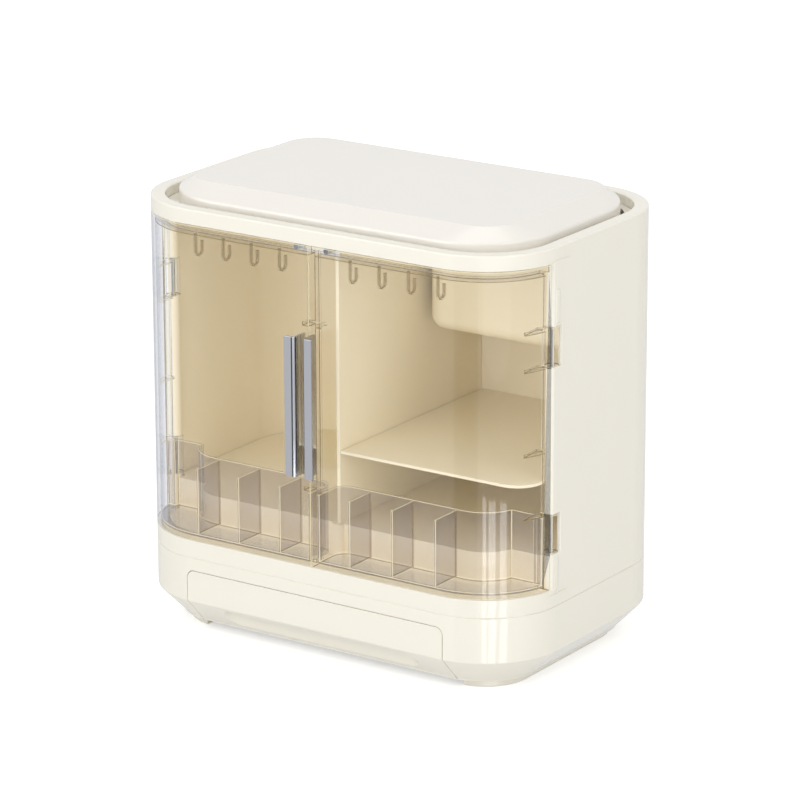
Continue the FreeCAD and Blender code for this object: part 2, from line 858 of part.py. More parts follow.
def cabinet_floor():
    """Raised floor with its stepped riser, the sill under the trays and the bosses."""
    inset = d.wall + d.seat_gap
    side_x = half_width - inset
    radius = d.corner_radius - inset
    body = piece("cabinet_floor")
    plate_right = riser_path(ZERO) + [
        line_to(post_notch_x, post_notch_y),
        line_to(side_x, post_notch_y),
        arc_to(side_x, back_corner_y, radius, corner_x, back_corner_y),
        line_to(corner_x, back - inset),
    ]
    plate = plate_right + left_of(plate_right)
    body.pad([plate], floor_level - d.floor_plate, floor_level)
    front_line = riser_path(ZERO)
    rear_line = riser_path(d.riser_wall)
    riser = front_line + reverse_path(rear_line) + left_of(front_line + reverse_path(rear_line))
    body.pad([riser], window_bottom - d.sill_plate, floor_level - d.floor_plate / 2)
    sill_end_y = riser_step_y - d.riser_gap
    sill_reach = chord_reach(radius, front_corner_y - sill_end_y)
    sill_right = [
        arc_to(corner_x, front + inset, radius, corner_x, front_corner_y),
        line_to(corner_x + sill_reach, sill_end_y),
        line_to(post_notch_x, sill_end_y),
    ] + reverse_path(rear_line)
    body.pad([sill_right + left_of(sill_right)], window_bottom - d.sill_plate, window_bottom)
    block = rectangle(
        -d.block_half_width,
        d.block_half_width,
        front + riser_depth - d.block_reach,
        front + riser_depth + d.riser_wall / 2,
    )
    body.pad([block], window_bottom - d.sill_plate / 2, floor_level)
    bosses = []
    holes = []
    for x, y in boss_places():
        bosses.append(circle(x, y, d.floor_boss_radius))
        holes.append(circle(x, y, d.screw_radius + d.pin_clearance))
    for boss in bosses:
        body.pad([boss], d.seam_level, floor_level - d.floor_plate / 2)
    hole_top = d.seam_level - d.screw_seat + d.screw_length + d.overrun
    body.cut(holes, d.seam_level - d.overrun, hole_top)
    node("cabinet_floor", body.body)


def centre_divider():
    """Upright partition between the two compartments, with the shelf's rib."""
    half = d.divider_thickness / 2
    divider_front = front + riser_depth
    divider_back = back - d.wall - d.seat_gap
    panel = box(
        "divider_panel",
        -half,
        half,
        divider_front,
        divider_back,
        floor_level,
        window_top - d.seat_gap,
    )
    rib = box(
        "divider_rib",
        half - d.divider_thickness / 4,
        half + d.shelf_rib_reach,
        mid_y - d.shelf_rib_length / 2,
        mid_y + d.shelf_rib_length / 2,
        shelf_bottom - d.shelf_rib_thickness,
        shelf_bottom,
    )
    node("centre_divider", fused("centre_divider", [panel, rib]))


def shelf():
    """Shelf of the right compartment, rounded in front and cut round the hinge post."""
    inset = d.wall + d.seat_gap
    side_x = half_width - inset
    start_x = d.divider_thickness / 2 + d.seat_gap
    shelf_front = front + riser_depth
    radius = d.corner_radius - inset
    body = piece("shelf")
    body.pad([[
        line_to(start_x, shelf_front),
        arc_to(
            post_notch_x - d.shelf_corner,
            shelf_front,
            d.shelf_corner,
            post_notch_x - d.shelf_corner,
            shelf_front + d.shelf_corner,
        ),
        line_to(post_notch_x, shelf_front + d.shelf_corner),
        line_to(post_notch_x, post_notch_y),
        line_to(side_x, post_notch_y),
        arc_to(side_x, back_corner_y, radius, corner_x, back_corner_y),
        line_to(corner_x, back - inset),
        line_to(start_x, back - inset),
    ]], shelf_bottom, shelf_level)
    node("shelf", body.body)


def well_outline(inset):
    """The well's outline, moved inwards, with its back corner along the housing."""
    x_low = d.well_side + inset
    x_high = half_width - ledge_inset - d.well_gap - inset
    y_low = front + d.depth * d.well_front_share + inset
    y_high = back - ledge_inset - d.well_gap - inset
    small = d.well_corner - inset
    large = d.corner_radius - ledge_inset - d.well_gap - inset
    return [
        arc_to(x_high - small, y_low, small, x_high - small, y_low + small),
        line_to(x_high, y_low + small),
        arc_to(x_high, back_corner_y, large, corner_x, back_corner_y),
        line_to(corner_x, y_high),
        arc_to(x_low + small, y_high, small, x_low + small, y_high - small),
        line_to(x_low, y_high - small),
        arc_to(x_low, y_low + small, small, x_low + small, y_low + small),
        line_to(x_low + small, y_low),
    ]


def top_deck():
    """Plate under the lid, with the storage well that hangs into the right side."""
    inset = d.rim_width + d.seat_gap
    body = piece("top_deck")
    body.pad([body_outline(inset)], ledge_top, deck_top)
    body.pad([well_outline(ZERO)], well_bottom, ledge_top + d.deck_thickness / 2)
    inner_floor = well_bottom + d.well_wall
    body.cut([well_outline(d.well_wall)], inner_floor, deck_top + d.overrun)
    body.round_edges_at(inner_floor, d.well_bottom_round - d.well_wall)
    body.round_edges_at(well_bottom, d.well_bottom_round)
    node("top_deck", body.body)


def lid():
    """Lift-off lid: an upright skirt and a sloped border round a flat top."""
    lid_half_x = half_width - d.rim_width - d.lid_gap
    lid_half_y = d.depth / 2 - d.rim_width - d.lid_gap
    skirt_bottom = deck_top + d.seat_gap
    edge = rounded(lid_half_x, lid_half_y, d.lid_corner)
    plateau_half_x = lid_half_x - d.lid_slope_side
    plateau_half_y = lid_half_y - d.lid_slope_front
    plateau = rounded(plateau_half_x, plateau_half_y, d.plateau_corner)
    inner_edge = rounded(
        lid_half_x - d.lid_wall, lid_half_y - d.lid_wall, d.lid_corner - d.lid_wall
    )
    inner_plateau = rounded(
        plateau_half_x - d.lid_wall / 2,
        plateau_half_y - d.lid_wall / 2,
        d.plateau_corner - d.lid_wall / 2,
    )
    outer = piece("lid_form")
    outer.pad([edge], skirt_bottom, lid_edge_level)
    outer.loft(edge, plateau, lid_edge_level, lid_top_level)
    outer.round_edges_at(lid_top_level, d.plateau_round)
    outer.round_edges_at(lid_edge_level, d.lid_round)
    hollow = piece("lid_hollow")
    inner_edge_level = lid_edge_level - d.lid_wall / 2
    hollow.pad([inner_edge], skirt_bottom - d.overrun, inner_edge_level)
    hollow.loft(inner_edge, inner_plateau, inner_edge_level, lid_top_level - d.lid_wall)
    node("lid", cut_away("lid", outer.body, hollow.body))


def front_back_line():
    """Back line of the drawer front, seen from the side, from the foot upwards."""
    foot_y = front + d.drawer_front_depth
    return [
        line_to(foot_y, base_bottom),
        line_to(foot_y, base_bottom + d.drawer_front_foot),
        line_to(front + d.drawer_front_wall, chamfer_top + d.drawer_knee_rise),
    ]


def drawer_front():
    """Drawer front with the base's chamfer, rounded top corners and finger scoop."""
    half = drawer_half_width
    profile = piece("drawer_front_profile")
    profile.pad([[
        line_to(front, chamfer_top),
        line_to(front + d.chamfer_inset, chamfer_bottom),
        line_to(front + d.chamfer_inset, base_bottom),
    ] + front_back_line() + [
        line_to(front + d.drawer_front_wall, drawer_front_top),
        line_to(front, drawer_front_top),
    ]], -half, half, SIDE)
    profile.round_edges_at(chamfer_top, d.base_round)
    face = piece("drawer_front_face")
    face.pad(
        [bay_outline(half, drawer_front_top, d.drawer_front_corner)],
        front - d.overrun,
        front + d.drawer_front_depth + d.overrun,
        FRONT,
    )
    blank = shared("drawer_front_blank", [profile.body, face.body])
    half_chord = d.scoop_chord / 2
    radius = (half_chord * half_chord + d.scoop_depth * d.scoop_depth) / (d.scoop_depth * 2)
    slope = root(d.chamfer_inset * d.chamfer_inset + d.chamfer_rise * d.chamfer_rise)
    away = radius - d.scoop_depth
    scoop_y = front + d.chamfer_inset / 2 - away * d.chamfer_rise / slope
    scoop_z = chamfer_bottom + d.chamfer_rise / 2 - away * d.chamfer_inset / slope
    straight = half - d.scoop_end_inset - half_chord
    scoop = fused("scoop", [
        rod("scoop_rod", -straight, scoop_y, scoop_z, radius, straight * 2, TO_RIGHT),
        ball("scoop_left", -straight, scoop_y, scoop_z, radius),
        ball("scoop_right", straight, scoop_y, scoop_z, radius),
    ])
    node("drawer_front", cut_away("drawer_front", blank, scoop))


def drawer_tray():
    """Open drawer box whose front end fits the drawer front's back."""
    half = bay_half_width - d.drawer_side_gap
    tray_floor = base_floor_top + d.seat_gap
    drawer_tray_top = drawer_front_top - d.drawer_tray_drop
    tray_back = back - d.chamfer_inset - d.base_floor - d.drawer_gap
    start = front + d.drawer_front_wall
    block = box("drawer_block", -half, half, start, tray_back, tray_floor, drawer_tray_top)
    inside = box(
        "drawer_inside",
        -half + d.drawer_wall,
        half - d.drawer_wall,
        start - d.overrun,
        tray_back - d.drawer_wall,
        tray_floor + d.drawer_wall,
        drawer_tray_top + d.overrun,
    )
    wedge = piece("drawer_front_space")
    wedge.pad([front_back_line() + [
        line_to(start, drawer_tray_top + d.overrun),
        line_to(front - d.overrun, drawer_tray_top + d.overrun),
        line_to(front - d.overrun, base_bottom),
    ]], -half - d.overrun, half + d.overrun, SIDE)
    space = fused("drawer_space", [inside, wedge.body])
    node("drawer_tray", cut_away("drawer_tray", block, space))


def door_strip(inner_offset):
    """Plan of a strip along the right door, from its face inwards."""
    outer = d.corner_radius
    inner = d.corner_radius - inner_offset
    rise = front_corner_y - door_edge_y
    outer_x = corner_x + chord_reach(outer, rise)
    inner_x = corner_x + chord_reach(inner, rise)
    return [
        line_to(door_start, front),
        arc_to(corner_x, front, outer, corner_x, front_corner_y),
        line_to(outer_x, door_edge_y),
        arc_to(inner_x, door_edge_y, inner, corner_x, front_corner_y),
        line_to(corner_x, front + inner_offset),
        line_to(door_start, front + inner_offset),
    ]


def door():
    """Clear door shell with its flanges, gussets and hinge knuckles."""
    wall_middle = d.corner_radius - d.door_wall / 2
    body = piece("door_right")
    body.pad([door_strip(d.door_wall)], door_bottom, door_top)
    body.pad([door_strip(d.rail_depth)], rail_bottom, rail_top)
    body.pad([door_strip(d.rail_depth)], door_bottom, tray_bottom)
    meeting = rectangle(
        door_start, door_start + d.flange_thickness, front, front + d.meeting_flange_depth
    )
    body.pad([meeting], door_bottom, rail_top)
    meeting_rib = rectangle(
        door_start, door_start + d.meeting_rib_width, front, front + d.meeting_flange_depth
    )
    rib_levels = (
        handle_bottom - d.meeting_rib_drop - d.meeting_rib_thickness,
        handle_top + d.meeting_rib_rise,
    )
    for level in rib_levels:
        body.pad([meeting_rib], level, level + d.meeting_rib_thickness)
    edge_rise = front_corner_y - door_edge_y
    edge_x = corner_x + chord_reach(wall_middle, edge_rise + d.flange_thickness)
    hinge_flange_x = half_width - d.hinge_flange_depth
    hinge_flange = rectangle(
        hinge_flange_x, edge_x, door_edge_y - d.flange_thickness, door_edge_y
    )
    body.pad([hinge_flange], door_bottom, rail_top)
    reach_x = corner_x + chord_reach(wall_middle, edge_rise + d.gusset_reach)
    inner_x = half_width - d.gusset_depth
    base_y = door_edge_y - d.flange_thickness / 2
    gusset = [
        line_to(inner_x, base_y - d.flange_thickness / 2),
        line_to(hinge_flange_x, base_y),
        line_to(edge_x, base_y),
        line_to(reach_x, door_edge_y - d.gusset_reach),
    ]
    gusset_levels = (
        tray_top + d.low_gusset_gap,
        door_bottom + door_height * d.middle_gusset_share,
        upper_knuckle_level,
        upper_knuckle_top - d.gusset_thickness,
    )
    for level in gusset_levels:
        body.pad([gusset], level, level + d.gusset_thickness)
    web = rectangle(
        hinge_x - d.web_half_width,
        hinge_x + d.web_half_width,
        door_edge_y - d.flange_thickness / 2,
        hinge_y,
    )
    levels = (
        (lower_knuckle_level, lower_knuckle_top),
        (upper_knuckle_level, upper_knuckle_top),
    )
    for low, high in levels:
        body.pad([web], low, high)
        body.pad([circle(hinge_x, hinge_y, d.knuckle_radius)], low, high)
        body.cut([circle(hinge_x, hinge_y, pin_hole_radius)], low - d.overrun, high + d.overrun)
    node("door_right", body.body)
    node("door_left", mirrored("door_left", body.body))


def tray_outline(inset, front_reach):
    """Plan of a door tray: its walls moved inwards, its open front moved outwards."""
    gap = d.door_wall + d.tray_gap
    start = door_start + d.flange_thickness + d.tray_gap + inset
    front_y = front + gap - front_reach
    front_radius = d.corner_radius - gap + front_reach
    end_y = door_edge_y - d.flange_thickness - d.seat_gap - inset
    end_x = hinge_x - d.tray_end_offset - inset
    back_y = front + d.tray_depth - inset
    step_y = back_y + d.tray_step
    back_radius = front_corner_y - back_y
    corner = d.tray_corner - inset
    front_x = corner_x + chord_reach(front_radius, front_corner_y - end_y)
    back_x = corner_x + chord_reach(back_radius, front_corner_y - step_y)
    return [
        line_to(start, front_y),
        arc_to(corner_x, front_y, front_radius, corner_x, front_corner_y),
        line_to(front_x, end_y),
        line_to(end_x, end_y),
        line_to(end_x, step_y),
        arc_to(back_x, step_y, back_radius, corner_x, front_corner_y),
        line_to(corner_x, back_y),
        arc_to(start + corner, back_y, corner, start + corner, back_y - corner),
        line_to(start, back_y - corner),
    ]


def door_tray():
    """Clear tray along the foot of the right door; the door closes its front."""
    body = piece("door_tray_right")
    body.pad([tray_outline(ZERO, ZERO)], tray_bottom, tray_top)
    body.cut([tray_outline(d.tray_wall, d.overrun)], tray_floor_top, tray_top + d.overrun)
    node("door_tray_right", body.body)
    node("door_tray_left", mirrored("door_tray_left", body.body))


def tray_dividers():
    """Upright dividers that stand across the trays."""
    front_y = front + d.door_wall + d.tray_divider_gap
    back_y = front + d.tray_depth - d.tray_wall - d.tray_divider_gap
    for index in range(TRAY_DIVIDERS):
        x = half_width * (d.tray_divider_first_share + d.tray_divider_pitch_share * index)
        label = f"tray_divider_right_{index + 1}"
        panel = box(
            label,
            x - d.tray_divider_thickness / 2,
            x + d.tray_divider_thickness / 2,
            front_y,
            back_y,
            tray_floor_top,
            tray_top,
        )
        node(label, panel)
        left_label = f"tray_divider_left_{index + 1}"
        node(left_label, mirrored(left_label, panel))


def hook_outline():
    """Side view of one hook: a stem, a round bend and a short tip."""
    stem = front + d.hook_depth
    bend = d.hook_bend
    inner = bend - d.hook_wall
    middle = stem + bend
    low = rail_bottom - d.hook_drop
    bend_level = low + bend
    tip_top = low + d.hook_tip_height
    return [
        line_to(stem, rail_bottom),
        arc_to(stem, bend_level, bend, middle, bend_level),
        arc_to(middle, low, bend, middle, bend_level),
        line_to(middle + bend, bend_level),
        line_to(middle + bend, tip_top),
        line_to(middle + inner, tip_top),
        arc_to(middle + inner, bend_level, inner, middle, bend_level),
        arc_to(middle, bend_level - inner, inner, middle, bend_level),
        line_to(stem + d.hook_wall, bend_level),
        line_to(stem + d.hook_wall, rail_bottom),
    ]


def hooks():
    """Four hooks under the top flange of each door."""
    singles = []
    for index in range(HOOKS):
        x = half_width * (d.hook_first_share + d.hook_pitch_share * index)
        single = piece("hook")
        single.pad([hook_outline()], x - d.hook_width / 2, x + d.hook_width / 2, SIDE)
        singles.append(single.body)
    row = fused("hooks_right", singles)
    node("hooks_right", row)
    node("hooks_left", mirrored("hooks_left", row))


def handles():
    """Angled bar handles beside the meeting edge of the doors."""
    inner = d.handle_inner
    face = front - d.handle_reach
    plate_back = face + d.handle_wall
    bend = d.handle_corner
    bend_x = inner + bend
    bend_y = face + bend
    body = piece("handle_right")
    body.pad([[
        arc_to(inner, bend_y, bend, bend_x, bend_y),
        line_to(bend_x, face),
        line_to(inner + d.handle_width, face),
        line_to(inner + d.handle_width, plate_back),
        arc_to(bend_x, plate_back, bend - d.handle_wall, bend_x, bend_y),
        line_to(inner + d.handle_wall, bend_y),
        line_to(inner + d.handle_wall, front),
        line_to(inner, front),
    ]], handle_bottom, handle_top)
    node("handle_right", body.body)
    node("handle_left", mirrored("handle_left", body.body))


def door_magnets():
    """A magnet on the top flange of each door, against the door's back face."""
    magnet = rod(
        "door_magnet_right",
        d.magnet_place,
        front + d.door_wall,
        magnet_level,
        d.magnet_radius,
        d.magnet_length,
        TO_BACK,
    )
    node("door_magnet_right", magnet)
    node("door_magnet_left", mirrored("door_magnet_left", magnet))


def check_document():
    """Stop if any object failed, any cut took nothing or any piece is unsound."""
    for thing in DOC.Objects:
        if "Invalid" in thing.State or "Error" in thing.State:
            raise RuntimeError(f"{thing.Name} ({thing.Label}) failed: {thing.State}")
    for made in PIECES:
        for taken in made.cuts:
            if taken.BaseFeature.Shape.Volume - taken.Shape.Volume <= 0:
                raise RuntimeError(f"{made.body.Label}: {taken.Name} cuts nothing")
    for label, thing in NODES.items():
        shape = thing.Shape
        if shape.isNull() or not shape.isValid() or not shape.Solids:
            raise RuntimeError(f"{label} has no sound solid")


def export():
    """Write each piece to its own file."""
    os.makedirs("parts", exist_ok=True)
    for label, thing in NODES.items():
        thing.Shape.exportStep(f"parts/{label}.step")
        bounds = thing.Shape.BoundBox
        print(
            f"{label}: {len(thing.Shape.Solids)} solid(s), {thing.Shape.Volume:.0f} mm3, "
            f"x {bounds.XMin:.1f}..{bounds.XMax:.1f}, y {bounds.YMin:.1f}..{bounds.YMax:.1f}, "
            f"z {bounds.ZMin:.1f}..{bounds.ZMax:.1f}"
        )


def main():
    """Build every piece of the box and export it."""
    upper_housing()
    catch_magnets()
    hinge_pins()
    base_housing()
    foot_rails()
    screws()
    cabinet_floor()
    centre_divider()
    shelf()
    top_deck()
    lid()
    drawer_front()
    drawer_tray()
    door()
    door_tray()
    tray_dividers()
    hooks()
    handles()
    door_magnets()
    DOC.recompute()
    check_document()
    export()


main()
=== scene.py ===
"""Looks of a cosmetic organizer box: cream cabinet, clear doors, drawer and lift-off lid."""

import json
import logging
import math
from dataclasses import dataclass
from enum import Enum
from typing import Any

import bmesh
import bpy
from mathutils import Matrix, Vector


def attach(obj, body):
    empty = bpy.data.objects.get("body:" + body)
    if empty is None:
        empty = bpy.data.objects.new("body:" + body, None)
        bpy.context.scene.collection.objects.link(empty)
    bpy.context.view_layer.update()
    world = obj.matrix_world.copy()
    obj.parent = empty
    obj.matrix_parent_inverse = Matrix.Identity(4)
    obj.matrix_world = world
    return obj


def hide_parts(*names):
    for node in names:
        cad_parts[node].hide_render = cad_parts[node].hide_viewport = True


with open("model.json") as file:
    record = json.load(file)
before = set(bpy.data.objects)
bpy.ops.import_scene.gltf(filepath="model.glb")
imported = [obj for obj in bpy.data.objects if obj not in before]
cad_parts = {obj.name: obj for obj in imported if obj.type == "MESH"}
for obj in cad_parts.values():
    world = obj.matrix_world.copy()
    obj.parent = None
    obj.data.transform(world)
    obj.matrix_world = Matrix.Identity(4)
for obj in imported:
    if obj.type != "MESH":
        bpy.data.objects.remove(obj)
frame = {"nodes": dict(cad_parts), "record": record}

LOG = logging.getLogger("organizer")
MM = 0.001
WHITE_LIGHT = (1.0, 1.0, 1.0, 1.0)
# Facets across a round: the usual number, and the one for pins and feet.
PLAIN_ROUND = 2
FINE_ROUND = 3

Colour = tuple[float, float, float, float]
Point = tuple[float, float, float]
Material = bpy.types.Material
Node = bpy.types.Node
NodeTree = bpy.types.NodeTree
Object = bpy.types.Object
Shape = bmesh.types.BMesh
Socket = bpy.types.NodeSocket


def linear(hex_colour: str, alpha: float = 1.0) -> Colour:
    """Turn an sRGB hex colour into the linear values that shaders use.

    Args:
        hex_colour: The colour as "#RRGGBB".
        alpha: The fourth value.

    Returns:
        Red, green, blue and alpha.
    """
    channels = []
    for start in (1, 3, 5):
        share = int(hex_colour[start:start + 2], 16) / 255
        if share <= 0.04045:
            channels.append(share / 12.92)
        else:
            channels.append(((share + 0.055) / 1.055) ** 2.4)
    return channels[0], channels[1], channels[2], alpha


def add_node(
    tree: NodeTree, kind: str, links: dict[str, Any] | None = None, **settings: Any
) -> Node:
    """Add a shader node with its settings, input values and links.

    Args:
        tree: The node tree it goes into.
        kind: The node's type, such as "ShaderNodeTexNoise".
        links: Input names, or "#" and a number, with a socket to link or a plain value.
        **settings: Properties of the node.

    Returns:
        The new node.
    """
    made = tree.nodes.new(kind)
    for name, value in settings.items():
        setattr(made, name, value)
    for name, source in (links or {}).items():
        socket = made.inputs[int(name[1:])] if name.startswith("#") else made.inputs[name]
        if isinstance(source, Socket):
            tree.links.new(source, socket)
        else:
            socket.default_value = source
    return made


def empty_tree(made: Material | bpy.types.World) -> NodeTree:
    """Clear the node tree of a material or world and return it."""
    made.use_nodes = True
    made.node_tree.nodes.clear()
    return made.node_tree


def math_node(tree: NodeTree, operation: str, first: Any, second: Any) -> Socket:
    """Add a sum, product or comparison of two sockets or numbers and return its result."""
    links = {"#0": first, "#1": second}
    return add_node(tree, "ShaderNodeMath", links, operation=operation).outputs[0]


def vector_node(tree: NodeTree, operation: str, first: Any, second: Any) -> Node:
    """Add a calculation with two vectors and return its node."""
    links = {"#0": first, "#1": second}
    return add_node(tree, "ShaderNodeVectorMath", links, operation=operation)


def noise(tree: NodeTree, place: Socket, size_mm: float, detail: float) -> Socket:
    """Add a noise.

    Args:
        tree: The node tree to add to.
        place: The place on the surface, in metres.
        size_mm: How wide the noise's features are.
        detail: How many finer layers lie over them.

    Returns:
        The noise's value, from 0 to 1.
    """
    links = {"Vector": place, "Scale": 1.0 / (size_mm * MM), "Detail": detail}
    return add_node(tree, "ShaderNodeTexNoise", links).outputs["Fac"]


def spread(tree: NodeTree, pattern: Socket, low: float, high: float) -> Socket:
    """Turn a pattern from 0 to 1 into values from low to high."""
    links = {"Value": pattern, "To Min": low, "To Max": high}
    return add_node(tree, "ShaderNodeMapRange", links).outputs["Result"]


def uneven(tree: NodeTree, pattern: Socket, value: float, share: float) -> Socket:
    """Let a value vary with a pattern, by a share of itself either way."""
    return spread(tree, pattern, value * (1.0 - share), value * (1.0 + share))


def rising(tree: NodeTree, value: Socket, start: float, end: float) -> Socket:
    """Return 0 where a value is at its start, 1 where it is at its end, and even steps between."""
    links = {"Value": value, "From Min": start, "From Max": end}
    return add_node(tree, "ShaderNodeMapRange", links).outputs["Result"]


def bumped(tree: NodeTree, pattern: Socket, height_mm: float) -> Socket:
    """Turn a pattern into the normal of a surface that it lifts by up to height_mm."""
    links = {"Height": pattern, "Strength": 1.0, "Distance": height_mm * MM}
    return add_node(tree, "ShaderNodeBump", links).outputs["Normal"]


def blend(tree: NodeTree, share: Socket, first: str | Socket, second: str | Socket) -> Socket:
    """Blend two colours.

    Args:
        tree: The node tree to add to.
        share: The second colour's share.
        first: A colour, as sRGB hex or as a socket.
        second: The other colour.

    Returns:
        The blended colour.
    """
    colours = [linear(side) if isinstance(side, str) else side for side in (first, second)]
    links = {"#0": share, "#6": colours[0], "#7": colours[1]}
    return add_node(tree, "ShaderNodeMix", links, data_type="RGBA").outputs[2]


def mixed(tree: NodeTree, share: float | Socket, first: Socket, second: Socket) -> Socket:
    """Mix two shaders, where share is the second one's."""
    links = {"#0": share, "#1": first, "#2": second}
    return add_node(tree, "ShaderNodeMixShader", links).outputs["Shader"]


def glow(tree: NodeTree, strength: float | Socket) -> Socket:
    """Add a shader that gives off white light."""
    links = {"Color": WHITE_LIGHT, "Strength": strength}
    return add_node(tree, "ShaderNodeEmission", links).outputs["Emission"]


def seen_directly(tree: NodeTree, *rays: str) -> Socket:
    """Tell rays that show something to the eye from those that only carry light.

    Args:
        tree: The node tree to add to.
        *rays: The Light Path outputs that count.

    Returns:
        A socket that is 1 for those rays before any matt bounce, and else 0.
    """
    path = add_node(tree, "ShaderNodeLightPath")
    total = path.outputs[rays[0]]
    for ray in rays[1:]:
        total = math_node(tree, "MAXIMUM", total, path.outputs[ray])
    bounced = math_node(tree, "GREATER_THAN", path.outputs["Diffuse Depth"], 0.5)
    fresh = math_node(tree, "SUBTRACT", 1.0, bounced)
    return math_node(tree, "MULTIPLY", total, fresh)


class Mark(Enum):
    """Numbers from 0 to 1 that faces carry, by which a finish tells them apart."""

    RIM = "rim"
    TRAY = "tray"
    HOOK = "hook"

    def read(self, tree: NodeTree) -> Socket:
        """Add a node that reads the mark and return its value."""
        return add_node(tree, "ShaderNodeAttribute", attribute_name=self.value).outputs["Fac"]


@dataclass(frozen=True)
class MouldedPlastic:
    """Injection-moulded ABS, dyed through: even colour, soft highlights, a faint ripple.

    Under the deck, a face that looks inwards, at the cabinet's middle, takes the plainer
    finish of the mould's core and a warmer, brighter cream: painted bounce light that stands
    in for the light gathering in the cabinet's depth. An inner piece does so all over.
    """

    name: str
    colour: str
    shade: str
    # Painted bounce light: a warmer, brighter cream for inward faces, standing in for light
    # gathering in the cabinet's depth.
    inward: str
    roughness: float = 0.1
    inner_roughness: float = 0.4
    inner_piece: float = 0.0
    ior: float = 1.53
    cloud_mm: float = 60.0
    ripple_mm: float = 40.0
    ripple_height_mm: float = 0.004
    grain_mm: float = 4.0
    grain_share: float = 0.06
    middle: Point = (0.0, 0.0065, 0.0)
    turn_mm: float = 10.0
    deck_mm: float = 276.0

    def facing_inwards(self, tree: NodeTree, place: Socket) -> Socket:
        """Tell the faces of the cabinet's inside from the outer ones.

        Args:
            tree: The node tree to add to.
            place: The place on the surface.

        Returns:
            A socket that is 1 on inner faces under the deck and 0 on all others.
        """
        offset = vector_node(tree, "SUBTRACT", place, self.middle).outputs["Vector"]
        level = vector_node(tree, "MULTIPLY", offset, (1.0, 1.0, 0.0)).outputs["Vector"]
        normal = add_node(tree, "ShaderNodeNewGeometry").outputs["Normal"]
        outwards = vector_node(tree, "DOT_PRODUCT", level, normal).outputs["Value"]
        inwards = rising(tree, outwards, 0.0, -self.turn_mm * MM)
        inner = math_node(tree, "MAXIMUM", inwards, self.inner_piece)
        height = add_node(tree, "ShaderNodeSeparateXYZ", {"Vector": place}).outputs["Z"]
        under_deck = math_node(tree, "LESS_THAN", height, self.deck_mm * MM)
        return math_node(tree, "MULTIPLY", inner, under_deck)

    def material(self) -> Material:
        """Build the material.

        Returns:
            The finished material.
        """
        made = bpy.data.materials.new(self.name)
        tree = empty_tree(made)
        place = add_node(tree, "ShaderNodeTexCoord").outputs["Object"]
        cloud = noise(tree, place, self.cloud_mm, detail=3.0)
        tint = blend(tree, cloud, self.colour, self.shade)
        # Painted bounce light: this mask gives inward faces under the deck the warmer cream, and
        # also their rougher core finish.
        inside = self.facing_inwards(tree, place)
        grain = noise(tree, place, self.grain_mm, detail=2.0)
        grained = uneven(tree, grain, 1.0, self.grain_share)
        tool_finish = spread(tree, inside, self.roughness, self.inner_roughness)
        ripple = noise(tree, place, self.ripple_mm, detail=1.0)
        surface = add_node(
            tree,
            "ShaderNodeBsdfPrincipled",
            {
                "Base Color": blend(tree, inside, tint, self.inward),
                "Roughness": math_node(tree, "MULTIPLY", grained, tool_finish),
                "IOR": self.ior,
                "Normal": bumped(tree, ripple, self.ripple_height_mm),
            },
        )
        add_node(tree, "ShaderNodeOutputMaterial", {"Surface": surface.outputs["BSDF"]})
        made.diffuse_color = linear(self.colour)
        return made


